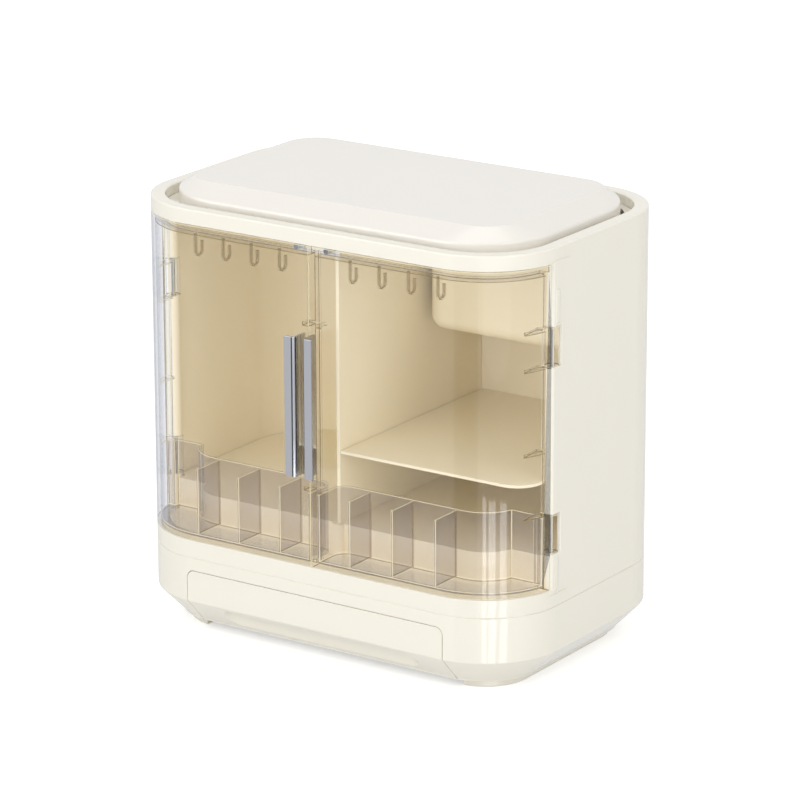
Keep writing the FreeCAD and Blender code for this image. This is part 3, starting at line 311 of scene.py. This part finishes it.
@dataclass(frozen=True)
class ClearPlastic:
    """Clear moulded polystyrene: thin polished walls with rims that catch the light.

    A thin wall bends a ray in and straight out again, so the ray passes unbent. About half
    of the rays count as transmitted and the others as transparent, so that many walls in a
    row stay clear. The flatter the view, the more the wall mirrors, and a painted bluish-grey
    shade darkens it. Trays and their dividers carry a painted grey shade. The rounded rims
    are painted: a pale cream highlight on faces turned to the eye, a dark gold shade on faces
    turned away and on hooks.
    """

    name: str
    wall_tint: str
    # Painted shade for trays and for walls seen edge-on, and painted highlight and shade for the
    # rims.
    tray_tint: str
    edge_tint: str
    mirror: str
    rim_light: str
    rim_dark: str
    transmitted: float = 0.55
    mirror_ahead: float = 0.04
    mirror_power: float = 5.0
    edge_start: float = 0.55
    rim_share: float = 0.8
    roughness: float = 0.02
    unevenness: float = 0.5
    rim_roughness: float = 0.15
    ripple_mm: float = 40.0
    ripple_height_mm: float = 0.002
    display_alpha: float = 0.3

    def reflection(self, tree: NodeTree) -> Socket:
        """Add what the slightly rippled wall mirrors.

        Args:
            tree: The node tree to add to.

        Returns:
            The shader.
        """
        place = add_node(tree, "ShaderNodeTexCoord").outputs["Object"]
        ripple = noise(tree, place, self.ripple_mm, detail=1.0)
        mirror = add_node(
            tree,
            "ShaderNodeBsdfPrincipled",
            {
                "Base Color": linear(self.mirror),
                "Metallic": 1.0,
                "Roughness": uneven(tree, ripple, self.roughness, self.unevenness),
                "Normal": bumped(tree, ripple, self.ripple_height_mm),
            },
        )
        return mirror.outputs["BSDF"]

    def passage(self, tree: NodeTree, slant: Socket) -> Socket:
        """Add what the wall lets through, tinted.

        Args:
            tree: The node tree to add to.
            slant: 0 where the wall is seen straight on and 1 where it is seen edge-on.

        Returns:
            The shader.
        """
        # Painted shade: trays and their dividers let through a greyer tint than the door walls,
        # which darkens what is seen through them.
        wall_tint = blend(tree, Mark.TRAY.read(tree), self.wall_tint, self.tray_tint)
        # Painted shade: walls seen edge-on pass a bluish-grey tint.
        edge_on = rising(tree, slant, self.edge_start, 1.0)
        tint = blend(tree, edge_on, wall_tint, self.edge_tint)
        transparent = add_node(tree, "ShaderNodeBsdfTransparent", {"Color": tint})
        unbent = add_node(
            tree, "ShaderNodeBsdfRefraction", {"Color": tint, "Roughness": 0.0, "IOR": 1.0}
        )
        return mixed(tree, self.transmitted, transparent.outputs["BSDF"], unbent.outputs["BSDF"])

    def material(self) -> Material:
        """Build the material.

        Returns:
            The finished material.
        """
        made = bpy.data.materials.new(self.name)
        tree = empty_tree(made)
        slant = add_node(tree, "ShaderNodeLayerWeight").outputs["Facing"]
        steep = math_node(tree, "POWER", slant, self.mirror_power)
        gained = math_node(tree, "MULTIPLY", steep, 1.0 - self.mirror_ahead)
        mirrored = math_node(tree, "ADD", gained, self.mirror_ahead)
        wall = mixed(tree, mirrored, self.passage(tree, slant), self.reflection(tree))
        behind = add_node(tree, "ShaderNodeNewGeometry").outputs["Backfacing"]
        # Painted light on the rims: faces turned to the eye take a pale cream highlight, faces
        # turned away and hooks a dark gold shade.
        dark = math_node(tree, "MAXIMUM", Mark.HOOK.read(tree), behind)
        painted_rim = add_node(
            tree,
            "ShaderNodeBsdfPrincipled",
            {
                "Base Color": blend(tree, dark, self.rim_light, self.rim_dark),
                "Roughness": self.rim_roughness,
            },
        )
        rounded = math_node(tree, "MULTIPLY", Mark.RIM.read(tree), self.rim_share)
        both = mixed(tree, rounded, wall, painted_rim.outputs["BSDF"])
        add_node(tree, "ShaderNodeOutputMaterial", {"Surface": both})
        made.diffuse_color = linear(self.wall_tint, self.display_alpha)
        return made


@dataclass(frozen=True)
class Metal:
    """Bare or plated metal, polished or drawn lengthwise along Z."""

    name: str
    colour: str
    roughness: float
    streak_mm: float
    streak_length_mm: float
    depth_mm: float
    unevenness: float = 0.4

    def material(self) -> Material:
        """Build the material.

        Returns:
            The finished material.
        """
        made = bpy.data.materials.new(self.name)
        tree = empty_tree(made)
        place = add_node(tree, "ShaderNodeTexCoord").outputs["Object"]
        squeezed = (1.0, 1.0, self.streak_mm / self.streak_length_mm)
        lengthwise = add_node(tree, "ShaderNodeMapping", {"Vector": place, "Scale": squeezed})
        streak = noise(tree, lengthwise.outputs["Vector"], self.streak_mm, detail=3.0)
        surface = add_node(
            tree,
            "ShaderNodeBsdfPrincipled",
            {
                "Base Color": linear(self.colour),
                "Metallic": 1.0,
                "Roughness": uneven(tree, streak, self.roughness, self.unevenness),
                "Normal": bumped(tree, streak, self.depth_mm),
            },
        )
        add_node(tree, "ShaderNodeOutputMaterial", {"Surface": surface.outputs["BSDF"]})
        made.diffuse_color = linear(self.colour)
        return made


# Moulded ABS: a warm cream, polished outside; its inward faces under the deck are painted a warmer
# cream that stands in for light bouncing in the cabinet's depth.
CREAM = MouldedPlastic("cream ABS, moulded glossy", "#F3EFE3", "#F1EDE0", "#FCF0D2")
# The same plastic off another tool: whiter, with a softer highlight; its inward faces under the
# deck take a paler painted bounce glow.
LID_WHITE = MouldedPlastic(
    "off-white ABS, moulded satin", "#F0ECE5", "#EEEAE2", "#EEE8D8", roughness=0.2
)
# Inner pieces: the plainer tool finish blurs what they reflect, and under the deck they are
# painted the warmer cream of bounce light all over.
INNER_CREAM = MouldedPlastic(
    "inner cream ABS, moulded satin", "#F3EFE3", "#F1EDE0", "#FCF0D2", inner_piece=1.0
)
# Polystyrene: almost nothing but its edges and its reflections shows; the edges are drawn as
# painted highlight and shade lines, and the trays carry a painted grey shade.
CLEAR = ClearPlastic(
    "clear polystyrene, moulded",
    wall_tint="#FEFEFE",
    tray_tint="#EEECEC",
    edge_tint="#D6DAE6",
    mirror="#F6F7FA",
    rim_light="#F4E9CA",
    rim_dark="#8A7038",
)
# Decorative chrome: a cool mirror, with the plating's slight unevenness along the bar.
CHROME = Metal("chrome plating", "#C3C5CC", 0.07, 0.4, 40.0, 0.0003)
# Drawn pin stock: fine lines along the wire spread each highlight.
STEEL = Metal("drawn steel", "#A9ABAE", 0.3, 0.2, 8.0, 0.002)
# Plated magnets: rougher than the chrome and slightly blue, so they mirror less sharply.
NICKEL = Metal("nickel plating", "#C6CAD6", 0.16, 0.3, 0.6, 0.001)


class Slot(Enum):
    """Material slots that the record names, each with its finish."""

    CREAM = ("cream_plastic", CREAM)
    WHITE = ("white_plastic", LID_WHITE)
    INNER = ("tan_plastic", INNER_CREAM)
    CLEAR = ("clear_plastic", CLEAR)
    CHROME = ("chrome", CHROME)
    STEEL = ("steel", STEEL)
    MAGNET = ("magnet", NICKEL)


class Side(Enum):
    """The two sides, with their sign along X."""

    LEFT = -1
    RIGHT = 1

    @property
    def word(self) -> str:
        """The side as it stands in a node's name."""
        return self.name.lower()


class Workshop:
    """Keeps the finished materials and turns CAD nodes into pieces that ride on the frame."""

    MERGE_MM = 0.001
    FLAT_DEGREES = 0.2
    SHARP_DEGREES = 28.0
    CREASE_DEGREES = 42.0

    def __init__(self) -> None:
        """Make every finish once and look up the body of each node."""
        self.materials = {slot: slot.value[1].material() for slot in Slot}
        bodies = frame["record"]["behaviour"]["bodies"]
        self.body_of = {node: body for body, nodes in bodies.items() for node in nodes}

    def merged_copy(self, node: str) -> Shape:
        """Copy a CAD node's mesh, with its loose triangles merged into whole faces.

        Args:
            node: The CAD node's name.

        Returns:
            The merged shape, in the frame's own place.
        """
        shape = bmesh.new()
        shape.from_mesh(frame["nodes"][node].data)
        bmesh.ops.remove_doubles(shape, verts=shape.verts[:], dist=self.MERGE_MM * MM)
        bmesh.ops.dissolve_limit(
            shape,
            angle_limit=math.radians(self.FLAT_DEGREES),
            verts=shape.verts[:],
            edges=shape.edges[:],
        )
        return shape

    def round_edges(self, shape: Shape, radius_mm: float, segments: int) -> None:
        """Round the sharp edges of a shape and mark the new faces as its rims.

        Args:
            shape: The shape to change.
            radius_mm: How far the round reaches along each face.
            segments: Facets across the round.
        """
        sharp = [
            edge
            for edge in shape.edges
            if edge.is_manifold
            and edge.calc_face_angle() > math.radians(self.SHARP_DEGREES)
        ]
        rim = shape.faces.layers.float.new(Mark.RIM.value)
        rounds = bmesh.ops.bevel(
            shape,
            geom=sharp,
            offset=radius_mm * MM,
            offset_type="OFFSET",
            affect="EDGES",
            segments=segments,
            profile=0.5,
            material=-1,
            clamp_overlap=False,
            loop_slide=True,
        )
        for face in rounds["faces"]:
            face[rim] = 1.0

    def finish(self, shape: Shape, node: str, slot: Slot) -> Object:
        """Turn a shape into the piece that stands in for a CAD node.

        Args:
            shape: The finished shape; it is freed.
            node: The CAD node's name.
            slot: The material slot that the piece takes its finish from.

        Returns:
            The piece, riding on the node's body.
        """
        name = f"{node}_moulding"
        mesh = bpy.data.meshes.new(name)
        shape.to_mesh(mesh)
        shape.free()
        stale = mesh.attributes.get("custom_normal")
        if stale:
            mesh.attributes.remove(stale)
        mesh.shade_smooth()
        mesh.set_sharp_from_angle(angle=math.radians(self.CREASE_DEGREES))
        mesh.materials.append(self.materials[slot])
        piece = bpy.data.objects.new(name, mesh)
        bpy.context.scene.collection.objects.link(piece)
        even = piece.modifiers.new("even highlights", "WEIGHTED_NORMAL")
        even.keep_sharp = True
        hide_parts(node)
        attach(piece, self.body_of[node])
        LOG.info("%s: %d faces, rides on %s", name, len(mesh.polygons), self.body_of[node])
        return piece

    def moulding(
        self,
        node: str,
        slot: Slot,
        radius_mm: float,
        segments: int = PLAIN_ROUND,
        mark: Mark | None = None,
    ) -> None:
        """Stand in for a CAD node with a copy whose edges are rounded as a mould leaves them.

        Light passes a clear piece freely, so what stands behind it stays bright.

        Args:
            node: The CAD node's name.
            slot: The material slot.
            radius_mm: Radius of the rounded edges.
            segments: Facets across each round.
            mark: What its finish should tell it by, if anything.
        """
        shape = self.merged_copy(node)
        self.round_edges(shape, radius_mm, segments)
        if mark:
            told = shape.faces.layers.float.new(mark.value)
            for face in shape.faces:
                face[told] = 1.0
        piece = self.finish(shape, node, slot)
        if slot is Slot.CLEAR:
            piece.visible_shadow = False
            piece.visible_diffuse = False


@dataclass
class Cabinet:
    """The cabinet that stands still: housings, floor, partition, shelf, deck and feet."""

    shop: Workshop
    shell_edge_mm: float = 0.5
    inner_edge_mm: float = 0.3
    foot_edge_mm: float = 1.0

    def build(self) -> None:
        """Build every piece of the cabinet."""
        for node in ("upper_housing", "base_housing"):
            self.shop.moulding(node, Slot.CREAM, self.shell_edge_mm)
        for node in ("cabinet_floor", "centre_divider", "shelf", "top_deck"):
            self.shop.moulding(node, Slot.INNER, self.inner_edge_mm)
        for side in Side:
            node = f"foot_rail_{side.word}"
            self.shop.moulding(node, Slot.CREAM, self.foot_edge_mm, FINE_ROUND)


@dataclass
class Fastenings:
    """Hinge pins, magnets and the screws under the base."""

    shop: Workshop
    pin_end_mm: float = 0.5
    screw_edge_mm: float = 0.4
    magnet_edge_mm: float = 0.3

    def build(self) -> None:
        """Build every fastening."""
        for side in Side:
            for level in ("lower", "upper"):
                node = f"hinge_pin_{side.word}_{level}"
                self.shop.moulding(node, Slot.STEEL, self.pin_end_mm, FINE_ROUND)
            self.shop.moulding(f"door_magnet_{side.word}", Slot.MAGNET, self.magnet_edge_mm)
        self.shop.moulding("catch_magnets", Slot.MAGNET, self.magnet_edge_mm)
        self.shop.moulding("base_screws", Slot.STEEL, self.screw_edge_mm)


@dataclass
class Door:
    """One clear door with its tray, dividers, hooks and handle."""

    shop: Workshop
    side: Side
    edge_mm: float = 0.4
    hook_edge_mm: float = 0.5
    handle_edge_mm: float = 0.35

    def build(self) -> None:
        """Build every piece of the door."""
        word = self.side.word
        self.shop.moulding(f"door_{word}", Slot.CLEAR, self.edge_mm)
        # The tray mark gives trays and dividers their painted grey shade; the hook mark gives the
        # hooks dark painted rims.
        self.shop.moulding(f"door_tray_{word}", Slot.CLEAR, self.edge_mm, mark=Mark.TRAY)
        self.shop.moulding(f"hooks_{word}", Slot.CLEAR, self.hook_edge_mm, mark=Mark.HOOK)
        for number in (1, 2, 3):
            node = f"tray_divider_{word}_{number}"
            self.shop.moulding(node, Slot.CLEAR, self.edge_mm, mark=Mark.TRAY)
        self.shop.moulding(f"handle_{word}", Slot.CHROME, self.handle_edge_mm)


@dataclass
class Drawer:
    """The drawer under the cabinet."""

    shop: Workshop
    front_edge_mm: float = 0.5
    tray_edge_mm: float = 0.4

    def build(self) -> None:
        """Build the drawer's front and its tray."""
        self.shop.moulding("drawer_front", Slot.CREAM, self.front_edge_mm)
        self.shop.moulding("drawer_tray", Slot.WHITE, self.tray_edge_mm)


@dataclass
class Lid:
    """The lift-off lid."""

    shop: Workshop
    edge_mm: float = 0.4

    def build(self) -> None:
        """Build the lid."""
        self.shop.moulding("lid", Slot.WHITE, self.edge_mm)


@dataclass(frozen=True)
class Softbox:
    """A soft rectangular lamp, with its place, target and size in metres."""

    name: str
    place: Point
    width: float
    height: float
    watts: float
    target: Point = (0.0, 0.0, 0.15)

    def build(self) -> None:
        """Hang the lamp and turn it to its target."""
        data = bpy.data.lights.new(self.name, "AREA")
        data.shape = "RECTANGLE"
        data.size = self.width
        data.size_y = self.height
        data.energy = self.watts
        lamp = bpy.data.objects.new(self.name, data)
        lamp.location = self.place
        aim = Vector(self.target) - Vector(self.place)
        lamp.rotation_euler = aim.to_track_quat("-Z", "Y").to_euler()
        bpy.context.scene.collection.objects.link(lamp)


@dataclass(frozen=True)
class Card:
    """An upright card round the object that only its reflections see.

    Its sides are given by compass angles seen from the object, counted from +X to +Y, and
    its lower and upper edge by their heights in metres.
    """

    name: str
    start_degrees: float
    end_degrees: float
    low: float
    high: float
    brightness: float
    distance: float = 3.0

    def build(self) -> None:
        """Stand the card up and hide it from everything but reflections."""
        corners = []
        for degrees in (self.start_degrees, self.end_degrees):
            turn = math.radians(degrees)
            reach = Vector((math.cos(turn), math.sin(turn), 0.0)) * self.distance
            corners.append(reach + Vector((0.0, 0.0, self.low)))
        sheet = bmesh.new()
        foot = [sheet.verts.new(corner) for corner in corners]
        edge = sheet.edges.new(foot)
        raised = bmesh.ops.extrude_edge_only(sheet, edges=[edge])["geom"]
        top = [part for part in raised if isinstance(part, bmesh.types.BMVert)]
        bmesh.ops.translate(sheet, verts=top, vec=(0.0, 0.0, self.high - self.low))
        mesh = bpy.data.meshes.new(self.name)
        sheet.to_mesh(mesh)
        sheet.free()
        paper = bpy.data.materials.new(self.name)
        tree = empty_tree(paper)
        add_node(tree, "ShaderNodeOutputMaterial", {"Surface": glow(tree, self.brightness)})
        mesh.materials.append(paper)
        card = bpy.data.objects.new(self.name, mesh)
        bpy.context.scene.collection.objects.link(card)
        card.visible_camera = False
        card.visible_diffuse = False
        card.visible_transmission = False
        card.visible_shadow = False


@dataclass(frozen=True)
class PaperFloor:
    """Matt white paper under the object, whose fine fibres leave it no shine.

    It keeps the object's shadow. To the eye it glows a little, so that it meets the white
    background, and mirrored rays pass through it.
    """

    colour: str = "#F2F2F2"
    fibre_mm: float = 2.0
    least_roughness: float = 0.75
    most_roughness: float = 0.9
    brightness: float = 0.45
    reach: float = 6.0

    def material(self) -> Material:
        """Build the paper's material.

        Returns:
            The finished material.
        """
        made = bpy.data.materials.new("white paper sweep")
        tree = empty_tree(made)
        place = add_node(tree, "ShaderNodeTexCoord").outputs["Object"]
        fibre = noise(tree, place, self.fibre_mm, detail=3.0)
        matte = add_node(
            tree,
            "ShaderNodeBsdfPrincipled",
            {
                "Base Color": linear(self.colour),
                "Roughness": spread(tree, fibre, self.least_roughness, self.most_roughness),
                "Specular IOR Level": 0.0,
            },
        )
        shown = seen_directly(tree, "Is Camera Ray", "Is Transmission Ray")
        shine = glow(tree, math_node(tree, "MULTIPLY", shown, self.brightness))
        lit = add_node(tree, "ShaderNodeAddShader", {"#0": matte.outputs["BSDF"], "#1": shine})
        mirrored = seen_directly(tree, "Is Glossy Ray")
        open_air = add_node(tree, "ShaderNodeBsdfTransparent").outputs["BSDF"]
        both = mixed(tree, mirrored, lit.outputs["Shader"], open_air)
        add_node(tree, "ShaderNodeOutputMaterial", {"Surface": both})
        return made

    def build(self) -> None:
        """Lay the floor."""
        mesh = bpy.data.meshes.new("floor")
        sheet = bmesh.new()
        bmesh.ops.create_grid(sheet, x_segments=1, y_segments=1, size=self.reach)
        sheet.to_mesh(mesh)
        sheet.free()
        mesh.materials.append(self.material())
        laid = bpy.data.objects.new("floor", mesh)
        bpy.context.scene.collection.objects.link(laid)


@dataclass(frozen=True)
class Studio:
    """Camera, world, floor, lamps and cards.

    The camera's angles are in degrees, its lens and sensor in mm, its place and how far it
    sees in metres. Mirrored rays see a grey room under the horizon and a white one over it.
    """

    yaw: float = 34.27618597
    pitch: float = 17.08973693
    roll: float = -0.19258647
    lens_mm: float = 194.5738
    sensor_mm: float = 36.0
    place: Point = (1.5062, -2.2023, 0.9734)
    sight: float = 50.0
    daylight: float = 0.66
    mirrored_low: float = 0.78
    horizon: float = 0.12

    def camera(self) -> None:
        """Set the camera at the photograph's viewing angle."""
        data = bpy.data.cameras.new("camera")
        data.lens = self.lens_mm
        data.sensor_width = self.sensor_mm
        data.clip_end = self.sight
        seen = bpy.data.objects.new("camera", data)
        turn = (
            Matrix.Rotation(math.radians(self.yaw), 4, "Z")
            @ Matrix.Rotation(math.radians(90 - self.pitch), 4, "X")
            @ Matrix.Rotation(math.radians(self.roll), 4, "Z")
        )
        seen.matrix_world = Matrix.Translation(self.place) @ turn
        bpy.context.scene.collection.objects.link(seen)
        bpy.context.scene.camera = seen

    def world(self) -> None:
        """White background for the eye, plain soft light for the rest."""
        world = bpy.data.worlds.new("world")
        bpy.context.scene.world = world
        tree = empty_tree(world)
        direction = add_node(tree, "ShaderNodeTexCoord").outputs["Generated"]
        height = add_node(tree, "ShaderNodeSeparateXYZ", {"Vector": direction}).outputs["Z"]
        risen = rising(tree, height, -self.horizon, self.horizon)
        mirrored_light = spread(tree, risen, self.mirrored_low, 1.0)
        strength = self.daylight
        for shown, light in (
            (seen_directly(tree, "Is Glossy Ray"), mirrored_light),
            (seen_directly(tree, "Is Camera Ray", "Is Transmission Ray"), 1.0),
        ):
            links = {"#0": shown, "#2": strength, "#3": light}
            strength = add_node(tree, "ShaderNodeMix", links, data_type="FLOAT").outputs[0]
        sky = add_node(tree, "ShaderNodeBackground", {"Color": WHITE_LIGHT, "Strength": strength})
        add_node(tree, "ShaderNodeOutputWorld", {"Surface": sky.outputs[0]})

    def lamps(self) -> None:
        """Hang the soft lamps."""
        for lamp in (
            Softbox("key lamp", (-0.2, -2.2, 1.5), width=2.2, height=1.6, watts=13.0),
            Softbox("low lamp", (0.3, -2.2, 0.32), width=1.6, height=0.5, watts=6.5),
            Softbox("right lamp", (2.2, -0.6, 0.9), width=1.0, height=1.2, watts=9.2),
            Softbox(
                "top lamp",
                (0.0, -0.1, 2.1),
                width=1.4,
                height=1.4,
                watts=5.5,
                target=(0.0, 0.0, 0.2),
            ),
        ):
            lamp.build()

    def cards(self) -> None:
        """Stand up the bright strips and the dark flag that gloss and chrome mirror."""
        for card in (
            Card("strip card near", -59.3, -54.3, low=-1.8, high=-0.82, brightness=4.2),
            Card("strip card middle", -51.3, -42.3, low=-1.8, high=-0.82, brightness=4.2),
            Card("strip card far", -36.3, -27.3, low=-1.8, high=-0.82, brightness=4.2),
            Card("wide card", -59.3, -23.0, low=-0.61, high=0.6, brightness=1.2),
            Card("left card", -165.0, -100.0, low=0.35, high=3.2, brightness=2.6),
            Card("dark flag", -98.0, -66.0, low=-1.8, high=1.8, brightness=0.12),
        ):
            card.build()

    def build(self) -> None:
        """Set up everything round the object."""
        self.camera()
        self.world()
        PaperFloor().build()
        self.lamps()
        self.cards()
        bpy.context.scene.view_settings.view_transform = "Standard"


def main() -> None:
    """Build every piece in order and report it."""
    logging.basicConfig(level=logging.INFO, format="%(message)s")
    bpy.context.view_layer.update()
    Studio().build()
    shop = Workshop()
    Cabinet(shop).build()
    Fastenings(shop).build()
    Drawer(shop).build()
    Lid(shop).build()
    for side in Side:
        Door(shop, side).build()


if __name__ == "__main__":
    main()
